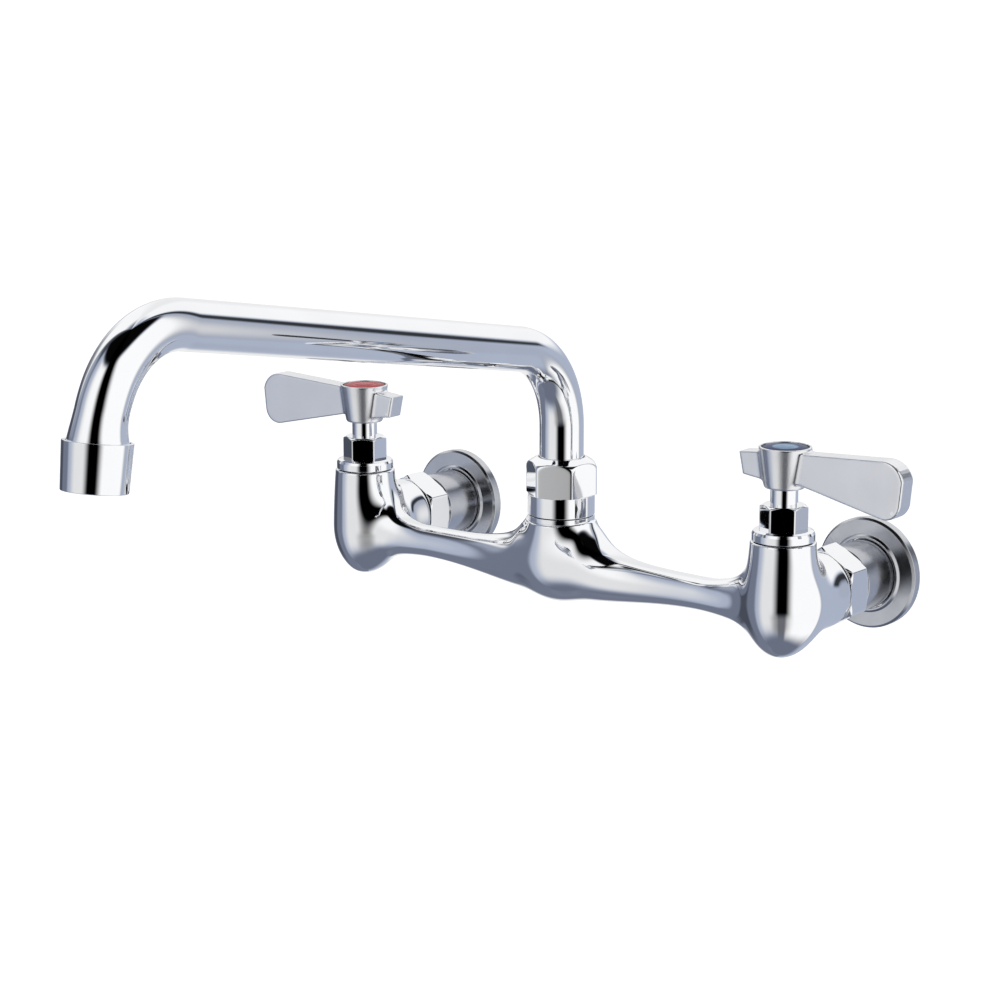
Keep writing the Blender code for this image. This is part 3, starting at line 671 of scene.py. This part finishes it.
def arm_field(x, y, z):
    """Both arms: an ellipse at each x, thick at the post, slim, then rising and flared to the housing."""
    x = np.abs(x - MIDDLE)
    near = 15 + 1.2 * np.log1p(np.exp((x - 15) / 1.2))
    belly = 0.5 + 0.5 * np.cos(math.pi * np.minimum(x / BELLY_HALF, 1.0))
    flare = (np.maximum(x - FLARE_START, 0) / 32) ** 2.2
    rise = 2.0 * (np.maximum(x - 67, 0) / 13) ** 2.3
    top = ARM_TOP + 15.0 * np.exp(-(near - 12) / 9.8) + rise
    bottom = ARM_BOTTOM + (POST_BOTTOM - ARM_BOTTOM) * belly - 5.5 * flare
    depth = ARM_DEPTH + 7.2 * np.exp(-((x / 29) ** 2)) + 2.5 * flare
    across = (y + OUT) / depth
    up = (z - (top + bottom) / 2) / ((top - bottom) / 2)
    q = np.sqrt(across**2 + up**2)
    slope = np.sqrt((across / depth) ** 2 + (up * 2 / (top - bottom)) ** 2)
    side = (q - 1) * q / np.maximum(slope, 1e-6)
    return smooth_max(side, x - REACH + 2, 12.0)


def casting_field(x, y, z):
    arms = smooth_min(arm_field(x, y, z), post_field(x, y, z), ARM_FILLET)
    ends = smooth_min(housing_field(x, y, z), bell_field(x, y, z), BELL_FILLET)
    cut = smooth_min(arms, ends, HOUSING_FILLET)
    cut = smooth_max(cut, z - HOUSING_TOP, 0.5)
    return smooth_max(cut, y - BELL_MOUTH, 0.9)


def casting():
    """The one-piece body, with its turned collar under the spout nut."""
    low = (MIDDLE - REACH - 16, -OUT - 19, BULB_BOTTOM - 3)
    high = (MIDDLE + REACH + 16, BELL_MOUTH + 3, HOUSING_TOP + 3)
    body = skin(casting_field, low, high, 0.6, soften=0.7)
    collar = [
        (POST_R - 0.7, POST_GROOVE - 1.5),
        (POST_R - 0.7, POST_GROOVE + 0.3),
        (POST_R, POST_GROOVE + 0.3),
        (POST_R, POST_SEAT),
        (10.6, POST_SEAT),
        (10.6, POST_GROOVE - 1.5),
    ]
    collar = moved(spun(collar, 0.2), Matrix.Translation(Vector(POST)))
    show("body", together(body, collar), CHROME, "root", POST, ["body_casting"])


# ---------------------------------------------------------------- valves


def bonnet(prefix, side):
    bottom = HOUSING_TOP + GAP
    round_part = [
        (BONNET_SKIRT_R, bottom - 6),
        (BONNET_SKIRT_R, bottom),
        (BONNET_FLANGE_R, bottom),
        (BONNET_FLANGE_R, HEX_BOTTOM - 1.5),
        (BONNET_FLANGE_R - 0.5, HEX_BOTTOM - 0.5),
        (BONNET_FLANGE_R - 1.7, HEX_BOTTOM),
        (6.0, HEX_BOTTOM),
        (STEM_BORE, HEX_BOTTOM),
        (STEM_BORE, bottom - 6),
    ]
    hexagon = [
        (STEM_BORE, HEX_BOTTOM - 0.5),
        (BONNET_HEX_R + 0.4, HEX_BOTTOM - 0.5),
        (BONNET_HEX_R + 0.4, HEX_TOP - 1.1),
        (BONNET_HEX_R - 1.4, HEX_TOP),
        (STEM_BORE, HEX_TOP),
    ]
    neck = [
        (3.8, HEX_TOP - 1),
        (NECK_R, HEX_TOP - 1),
        (NECK_R, HUB_BOTTOM + 1.6),
        (3.8, HUB_BOTTOM + 1.6),
    ]
    flats = BONNET_HEX_R * math.sqrt(3)
    shape = together(
        spun(round_part, 0.2),
        spun(hexagon, 0.2, flats=flats, turn=BONNET_TURN[side]),
        spun(neck, 0.2),
    )
    shape = moved(shape, Matrix.Translation(Vector(VALVE[side])))
    show(f"{prefix}_bonnet_fine", shape, CHROME, "root", VALVE[side], [f"{prefix}_bonnet"])


def arc(centre, radius, start, end, steps):
    angles = [math.radians(start + (end - start) * k / steps) for k in range(steps + 1)]
    return [(centre[0] + radius * math.cos(a), centre[1] + radius * math.sin(a)) for a in angles]


def blade_outline():
    """Side view of the lever from its tail to its tip: distance from the axis, then height."""
    crown = 8.5
    chin = 6.5
    return (
        [(-LEVER_TAIL, TAIL_TOP), (-6.0, TAIL_TOP + 1.2), (6.0, BLADE_TOP - 2.0)]
        + arc((LEVER_REACH - crown, BLADE_TOP - crown), crown, 92, 12, 8)
        + arc((LEVER_REACH - chin - 1.0, BLADE_BOTTOM + chin), chin, -12, -104, 8)
        + [(6.0, TAIL_BOTTOM - 0.6), (-6.0, TAIL_BOTTOM - 1.2), (-LEVER_TAIL + 1.8, TAIL_BOTTOM)]
    )


def outline_distance(outline, x, z):
    """Signed distance in a plane from a closed outline, negative inside."""
    nearest = np.full(x.shape, np.inf)
    inside = np.zeros(x.shape, bool)
    for (ax, az), (bx, bz) in zip(outline, outline[1:] + outline[:1]):
        dx, dz = bx - ax, bz - az
        t = np.clip(((x - ax) * dx + (z - az) * dz) / (dx * dx + dz * dz), 0, 1)
        nearest = np.minimum(nearest, (x - ax - t * dx) ** 2 + (z - az - t * dz) ** 2)
        spans = (az > z) != (bz > z)
        if dz:
            inside ^= spans & (x < ax + (z - az) * dx / dz)
    nearest = np.sqrt(nearest)
    return np.where(inside, -nearest, nearest)


def lever_field(side):
    outline = blade_outline()

    def field(x, y, z):
        rho = np.hypot(x, y)
        blade = outline_distance(outline, side * x, z)
        blade = smooth_max(blade, np.abs(y) - LEVER_THICK / 2, 1.5)
        up = np.clip((z - HUB_BOTTOM) / (LEVER_TOP - HUB_BOTTOM), 0, 1)
        radius = HUB_BOTTOM_R + (HUB_TOP_R - HUB_BOTTOM_R) * up
        hub = smooth_max(rho - radius, HUB_BOTTOM - z, 1.6)
        hub = smooth_max(hub, z - (LEVER_TOP - 0.2), 0.7)
        both = smooth_min(blade, hub, 2.0)
        both = smooth_max(both, -np.maximum(rho - NECK_R - GAP - 0.2, z - HUB_BOTTOM - 2.2), 0.4)
        return smooth_max(both, -np.maximum(rho - 8.7, LEVER_TOP - 2.4 - z), 0.3)

    return field


def lever(prefix, side):
    """Hub, blade and tail grown together with small fillets."""
    ends = sorted((-side * (LEVER_TAIL + 2), side * (LEVER_REACH + 2)))
    low = (ends[0], -12, BLADE_BOTTOM - 2)
    high = (ends[1], 12, LEVER_TOP + 2)
    shape = skin(lever_field(side), low, high, 0.4)
    lean = HOT_LEVER_TURN if side < 0 else 0.0
    turn = Matrix.Rotation(math.radians(lean), 4, "Z")
    shape = moved(shape, Matrix.Translation(Vector(VALVE[side])) @ turn)
    show(
        f"{prefix}_lever_fine", shape, SATIN, f"{prefix}_handle", VALVE[side], [f"{prefix}_lever"],
    )


def index_button(prefix, side):
    """Slightly domed button with a shallow groove between its middle and its ring."""
    rim = LEVER_TOP - 0.5
    bottom = LEVER_TOP - 2.1
    dome = [(BUTTON_R * (1 - k / 8), rim + 0.5 * (1 - (1 - k / 8) ** 2)) for k in range(8)]
    grooved = [(r, z - (0.18 if 3.9 < r < 4.5 else 0.0)) for r, z in dome]
    outline = [(0.05, bottom), (BUTTON_R, bottom)] + grooved + [(0.05, rim + 0.5)]
    shape = moved(spun(outline, 0.15), Matrix.Translation(Vector(VALVE[side])))
    material = HOT if side < 0 else COLD
    show(
        f"{prefix}_index_fine", shape, material, f"{prefix}_handle", VALVE[side], [f"{prefix}_index"],
    )


# ---------------------------------------------------------------- inlets


def inlet_place(side):
    """An inlet's axis: local z runs along the object's Y, so 0 is the wall."""
    at = Matrix.Translation(Vector((VALVE[side][0], 0, 0)))
    return at @ Matrix.Rotation(-math.pi / 2, 4, "X")


def inlet_nut(prefix, side):
    edge = 1.7
    outline = [
        (11.3, INLET_NUT_FRONT),
        (INLET_NUT_R - edge + 0.3, INLET_NUT_FRONT),
        (INLET_NUT_R + 0.3, INLET_NUT_FRONT + edge * 0.6),
        (INLET_NUT_R + 0.3, INLET_NUT_BACK - edge * 0.6),
        (INLET_NUT_R - edge + 0.3, INLET_NUT_BACK),
        (9.0, INLET_NUT_BACK),
        (9.0, INLET_NUT_BACK - 1.6),
        (11.3, INLET_NUT_BACK - 1.6),
    ]
    shape = spun(outline, 0.25, flats=INLET_NUT_R * math.sqrt(3), turn=30, sharp=90)
    shape = moved(shape, inlet_place(side))
    origin = (VALVE[side][0], 0, 0)
    show(f"{prefix}_inlet_nut_fine", shape, CHROME, "root", origin, [f"{prefix}_inlet_nut"])


def inlet_shank(prefix, side):
    flare = TAIL_END + 1.5
    outline = [
        (WATERWAY_R, flare),
        (SHANK_TAIL_R, flare),
        (SHANK_TAIL_R, INLET_NUT_BACK - 1.9),
        (SHANK_NECK_R, INLET_NUT_BACK - 1.9),
        (SHANK_NECK_R, SHANK_FRONT - 1.0),
        (SHANK_R - 1.0, SHANK_FRONT - 1.0),
        (SHANK_R, SHANK_FRONT),
        (SHANK_R, -GAP),
        (PIPE_BORE, -GAP),
        (PIPE_BORE, -PIPE_DEPTH),
        (WATERWAY_R, -PIPE_DEPTH - 2.0),
    ]
    shape = moved(spun(outline, 0.25), inlet_place(side))
    origin = (VALVE[side][0], 0, 0)
    show(f"{prefix}_shank_fine", shape, SHANK, "root", origin, [f"{prefix}_inlet_shank"])


def wall_flange(prefix, side):
    hole = SHANK_R + GAP
    outline = [
        (hole, -FLANGE_THICK - 1.0),
        (hole + 0.8, -FLANGE_THICK - 1.0),
        (hole + 1.6, -FLANGE_THICK),
        (FLANGE_R - 0.9, -FLANGE_THICK),
        (FLANGE_R, -FLANGE_THICK + 0.9),
        (FLANGE_R, 0.0),
        (RECESS_R, 0.0),
        (RECESS_R, -RECESS_DEPTH),
        (hole, -RECESS_DEPTH),
    ]
    shape = moved(spun(outline, 0.25), inlet_place(side))
    origin = (VALVE[side][0], 0, 0)
    show(
        f"{prefix}_flange_fine", shape, FLANGE, "root", origin, [f"{prefix}_wall_flange"],
    )


def wall_gasket(prefix, side):
    hole = SHANK_R + GAP
    outline = [(hole, -GASKET_THICK), (GASKET_R, -GASKET_THICK), (GASKET_R, -0.05), (hole, -0.05)]
    shape = moved(spun(outline, 0.3), inlet_place(side))
    origin = (VALVE[side][0], 0, 0)
    show(f"{prefix}_gasket_fine", shape, RUBBER, "root", origin, [f"{prefix}_wall_gasket"])


# ---------------------------------------------------------------- spout


def spout_path():
    """The tube's centre line: (reach, height, climb angle, way along it) at close steps."""
    reach, height, climb, way = 0.0, TUBE_START, 90.0, 0.0
    points = [(reach, height, climb, way)]
    moves = (
        (LEG_TOP - TUBE_START, None),
        (BEND_R, RUN_RISE),
        (RUN, None),
        (NOSE_R, -NOSE_DROP),
        (TIP_R, -TIP_DROP),
        (OUTLET_LAP, None),
    )
    for size, until in moves:
        length = size if until is None else size * math.radians(climb - until)
        steps = max(2, int(length / 1.0))
        turn = 0.0 if until is None else math.radians(climb - until) / steps
        for _ in range(steps):
            chord = length / steps if turn == 0 else 2 * size * math.sin(turn / 2)
            middle = math.radians(climb) - turn / 2
            reach += chord * math.cos(middle)
            height += chord * math.sin(middle)
            climb -= math.degrees(turn)
            way += length / steps
            points.append((reach, height, climb, way))
    return points


def swing_place():
    """The spout's frame: local -Y runs out along the spout at rest."""
    return Matrix.Translation(Vector(POST)) @ Matrix.Rotation(math.radians(REST_SWING), 4, "Z")


def outlet_place():
    """The outlet's frame at the tube's end, local -Z along the stream."""
    reach, height, climb, _ = spout_path()[-1]
    at = Matrix.Translation(Vector((0, -reach, height)))
    return swing_place() @ at @ Matrix.Rotation(-math.radians(90 + climb), 4, "X")


def spout_tube():
    path = spout_path()
    end = path[-1][3] - OUTLET_LAP
    widths = [
        TUBE_FLARE * min(max((way - end + FLARE_LENGTH) / FLARE_LENGTH, 0.0), 1.0) ** 1.6
        for *_, way in path
    ]
    rings = []
    loops = [(TUBE_R, k) for k in range(len(path))] + [(TUBE_BORE, k) for k in reversed(range(len(path)))]
    angles = np.arange(FINE) * TURN / FINE
    for radius, k in loops:
        reach, height, climb, _ = path[k]
        c = math.radians(climb)
        out = np.array((0, -math.sin(c), -math.cos(c)))
        around = np.outer(np.cos(angles), (1, 0, 0)) + np.outer(np.sin(angles), out)
        rings.append(np.array((0, -reach, height)) + (radius + widths[k]) * around)
    points = np.concatenate(rings)
    faces = grid_faces(len(rings), FINE, True, True)
    shape = moved((points, faces, weighted_normals(points, faces)), swing_place())
    show("spout_tube_fine", shape, CHROME, "spout", POST, ["spout_tube"])


def spout_nut():
    """Domed hexagon above a round skirt."""
    opening = TUBE_R + 0.35
    skirt = [
        (NUT_BORE, NUT_BOTTOM),
        (POST_R, NUT_BOTTOM),
        (POST_R, NUT_HEX_BOTTOM + 0.3),
        (NUT_BORE, NUT_HEX_BOTTOM + 0.3),
    ]
    dome = (
        [(opening, NUT_TOP), (opening, NUT_HEX_BOTTOM), (NUT_HEX_R, NUT_HEX_BOTTOM + 0.4)]
        + arc((NUT_HEX_R - 4.2, NUT_TOP - 5.2), 4.2, 0, 62, 10)
        + [(opening + 0.8, NUT_TOP)]
    )
    shape = together(spun(skirt, 0.25), spun(dome, 0.3, flats=NUT_FLATS, turn=NUT_TURN, sharp=90))
    shape = moved(shape, Matrix.Translation(Vector(POST)))
    show("spout_nut_fine", shape, CHROME, "root", POST, ["spout_nut"])


def outlet():
    """Flared housing on the tube's end, bored to take the stream former inside it."""
    socket = TUBE_R + TUBE_FLARE + GAP
    bottom = OUTLET_LAP - OUTLET_LENGTH
    outline = [
        (socket, OUTLET_LAP),
        (OUTLET_TOP_R, OUTLET_LAP),
        (OUTLET_END_R, bottom),
        (9.4, bottom),
        (9.4, -2.6),
        (7.2, -2.6),
        (7.2, -GAP),
        (socket, -GAP),
    ]
    place = outlet_place()
    origin = np.array(place.translation)
    shape = moved(spun(outline, 0.3), place)
    show("outlet_fine", shape, CHROME, "spout", origin, ["outlet_housing"])


def stream_field(x, y, z):
    """The stream former: a cup whose floor has a ring of eased holes round a centre one."""
    rho = np.hypot(x, y)
    wall = smooth_max(np.abs(rho - 8.65) - 0.45, np.abs(z + 7.15) - 2.65, 0.3)
    floor_part = np.maximum(rho - 8.3, np.abs(z + 6.9) - 0.7)
    hole = rho - STREAM_HOLE_R
    for k in range(6):
        t = TURN * k / 6
        at = np.hypot(x - STREAM_RING_R * math.cos(t), y - STREAM_RING_R * math.sin(t))
        hole = np.minimum(hole, at - STREAM_HOLE_R)
    return smooth_max(smooth_min(wall, floor_part, 0.5), -hole, 0.6)


def outlet_insert():
    shape = skin(stream_field, (-10, -10, -10.6), (10, 10, -3.8), 0.25)
    place = outlet_place()
    origin = np.array(place.translation)
    show("insert_fine", moved(shape, place), NYLON, "spout", origin, ["outlet_insert"])


# ---------------------------------------------------------------- stage


CAMERA_AT = (0.69602, -0.84618, 0.24280)
CAMERA_TURN = math.radians(39.39)
CAMERA_TILT = math.radians(12.40)
CAMERA_LENS = 95.62


def camera():
    data = bpy.data.cameras.new("camera")
    data.lens = CAMERA_LENS
    data.sensor_width = 36.0
    data.clip_end = 60.0
    obj = bpy.data.objects.new("camera", data)
    bpy.context.scene.collection.objects.link(obj)
    flat = math.cos(CAMERA_TILT)
    forward = Vector(
        (-math.sin(CAMERA_TURN) * flat, math.cos(CAMERA_TURN) * flat, -math.sin(CAMERA_TILT))
    )
    obj.location = CAMERA_AT
    obj.rotation_euler = forward.to_track_quat("-Z", "Y").to_euler()
    bpy.context.scene.camera = obj


def floor():
    """A plain pale floor well below the faucet; it isn't mirrored, because the light tent closes below."""
    size, height = 30.0, -0.30
    mesh = bpy.data.meshes.new("floor")
    corners = [(-size, -size), (size, -size), (size, size), (-size, size)]
    mesh.from_pydata([(x, y, height) for x, y in corners], [], [(0, 1, 2, 3)])
    n = Nodes("pale_floor")
    mottle = n.noise(3.0, 2.0)
    colour = n.ramp(mottle, (0.3, 0.80), (0.7, 0.82))
    mesh.materials.append(n.done(Base_Color=colour, Roughness=0.9))
    n.shader.inputs["Emission Color"].default_value = (1, 1, 1, 1)
    n.shader.inputs["Emission Strength"].default_value = 0.62
    obj = bpy.data.objects.new("floor", mesh)
    bpy.context.scene.collection.objects.link(obj)
    obj.visible_glossy = False


class Tent:
    """World nodes for a light tent: soft panels placed by their bearing from the camera and their height.

    Both angles are in degrees. A bearing grows to the right of the view, and 0 is straight back at the camera.
    """

    def __init__(self):
        world = bpy.data.worlds.new("light_tent")
        world.use_nodes = True
        bpy.context.scene.world = world
        self.tree = world.node_tree
        self.background = self.tree.nodes["Background"]
        direction = self.tree.nodes.new("ShaderNodeTexCoord").outputs["Generated"]
        right = (math.cos(CAMERA_TURN), math.sin(CAMERA_TURN), 0.0)
        back = (math.sin(CAMERA_TURN), -math.cos(CAMERA_TURN), 0.0)
        self.bearing = self.degrees(
            self.math("ARCTAN2", self.dot(direction, right), self.dot(direction, back))
        )
        self.height = self.degrees(self.math("ARCSINE", self.dot(direction, (0.0, 0.0, 1.0))))
        self.aside = self.math("ABSOLUTE", self.bearing)
        self.colour = None

    def math(self, operation, *values):
        node = self.tree.nodes.new("ShaderNodeMath")
        node.operation = operation
        for socket, value in zip(node.inputs, values):
            if isinstance(value, bpy.types.NodeSocket):
                self.tree.links.new(value, socket)
            else:
                socket.default_value = value
        return node.outputs[0]

    def degrees(self, angle):
        return self.math("MULTIPLY", angle, math.degrees(1.0))

    def dot(self, direction, axis):
        node = self.tree.nodes.new("ShaderNodeVectorMath")
        node.operation = "DOT_PRODUCT"
        self.tree.links.new(direction, node.inputs[0])
        node.inputs[1].default_value = axis
        return node.outputs["Value"]

    def rise(self, angle, start, end):
        """0 before start, 1 after end, smooth between."""
        node = self.tree.nodes.new("ShaderNodeMapRange")
        node.interpolation_type = "SMOOTHSTEP"
        self.tree.links.new(angle, node.inputs["Value"])
        node.inputs["From Min"].default_value = min(start, end)
        node.inputs["From Max"].default_value = max(start, end)
        if start > end:
            node.inputs["To Min"].default_value = 1.0
            node.inputs["To Max"].default_value = 0.0
        return node.outputs["Result"]

    def span(self, angle, low, high):
        """1 between two soft edges, each a (start, end) pair; None leaves that side open."""
        parts = []
        if low:
            parts.append(self.rise(angle, *low))
        if high:
            parts.append(self.math("SUBTRACT", 1.0, self.rise(angle, *high)))
        return parts[0] if len(parts) == 1 else self.math("MULTIPLY", *parts)

    def panel(self, grey, tint=(1.0, 1.0, 1.0), across=None, up=None, aside=None, strength=1.0):
        """Lays a soft-edged panel of one shade, as it shows on screen, over what is there."""
        shade = tuple((min(grey * t, 255) / 255) ** 2.2 for t in tint)
        if self.colour is None:
            self.colour = shade
            return
        masks = []
        for angle, edges in ((self.bearing, across), (self.height, up), (self.aside, aside)):
            if edges:
                masks.append(self.span(angle, *edges))
        mask = masks[0]
        for other in masks[1:]:
            mask = self.math("MULTIPLY", mask, other)
        if strength < 1.0:
            mask = self.math("MULTIPLY", mask, strength)
        node = self.tree.nodes.new("ShaderNodeMix")
        node.data_type = "RGBA"
        self.tree.links.new(mask, node.inputs[0])
        for socket, value in ((node.inputs[6], self.colour), (node.inputs[7], shade)):
            if isinstance(value, bpy.types.NodeSocket):
                self.tree.links.new(value, socket)
            else:
                socket.default_value = (*value, 1.0)
        self.colour = node.outputs[2]

    def close(self, strength):
        self.tree.links.new(self.colour, self.background.inputs["Color"])
        self.background.inputs["Strength"].default_value = strength


COOL = (0.94, 0.99, 1.09)
COOLER = (0.92, 0.975, 1.115)


def light_tent():
    """Blue-grey below, white panels left, right and behind, dark overhead and round the camera."""
    tent = Tent()
    tent.panel(114, COOLER)
    # back wall: white above, paler blue below on the right, dull on the left
    tent.panel(180, COOL, up=((-75, -45), None), aside=((98, 112), None))
    tent.panel(120, COOLER, across=(None, (-100, -92)), up=((-75, -60), None))
    tent.panel(160, COOL, across=((-180, -150), (-112, -96)), up=((0, 16), (30, 48)))
    tent.panel(248, aside=((116, 124), None), up=((2, 14), (68, 84)))
    tent.panel(235, aside=((160, 176), None), up=((-52, -34), None))
    # left panel
    tent.panel(180, COOL, across=((-100, -88), (-24, -14)), up=((-62, -34), (50, 57)))
    tent.panel(226, across=((-88, -62), (-24, -14)), up=((-56, -28), (49, 56)))
    tent.panel(250, across=((-80, -52), (-24, -14)), up=((-6, 22), (46, 56)))
    # right panel
    tent.panel(253, across=((2, 14), (94, 110)), up=((-66, -42), (46, 57)))
    # seams
    tent.panel(34, across=((108, 112), (115, 120)), up=((2, 9), None), strength=0.95)
    tent.panel(64, COOLER, across=((-156, -146), (-130, -120)), up=((-45, -25), (14, 30)), strength=0.8)
    tent.panel(60, across=((-124, -112), (-104, -94)), up=((34, 46), None), strength=0.8)
    # overhead
    tent.panel(14, up=((50, 58), None), aside=(None, (100, 118)))
    # the gap round the camera, closing softly below
    tent.panel(104, across=((-48, -20), (0, 36)), up=((-66, -34), (-24, -12)), strength=0.75)
    tent.panel(3, across=((-38, -16), (6, 31)), up=((-26, -14), None))
    tent.close(1.06)


def studio():
    bpy.context.scene.view_settings.view_transform = "Standard"
    camera()
    floor()
    light_tent()


def main():
    dress_cad_nodes()
    casting()
    for prefix, side in (("hot", -1), ("cold", 1)):
        bonnet(prefix, side)
        lever(prefix, side)
        index_button(prefix, side)
        inlet_nut(prefix, side)
        inlet_shank(prefix, side)
        wall_flange(prefix, side)
        wall_gasket(prefix, side)
    spout_tube()
    spout_nut()
    outlet()
    outlet_insert()
    studio()


main()
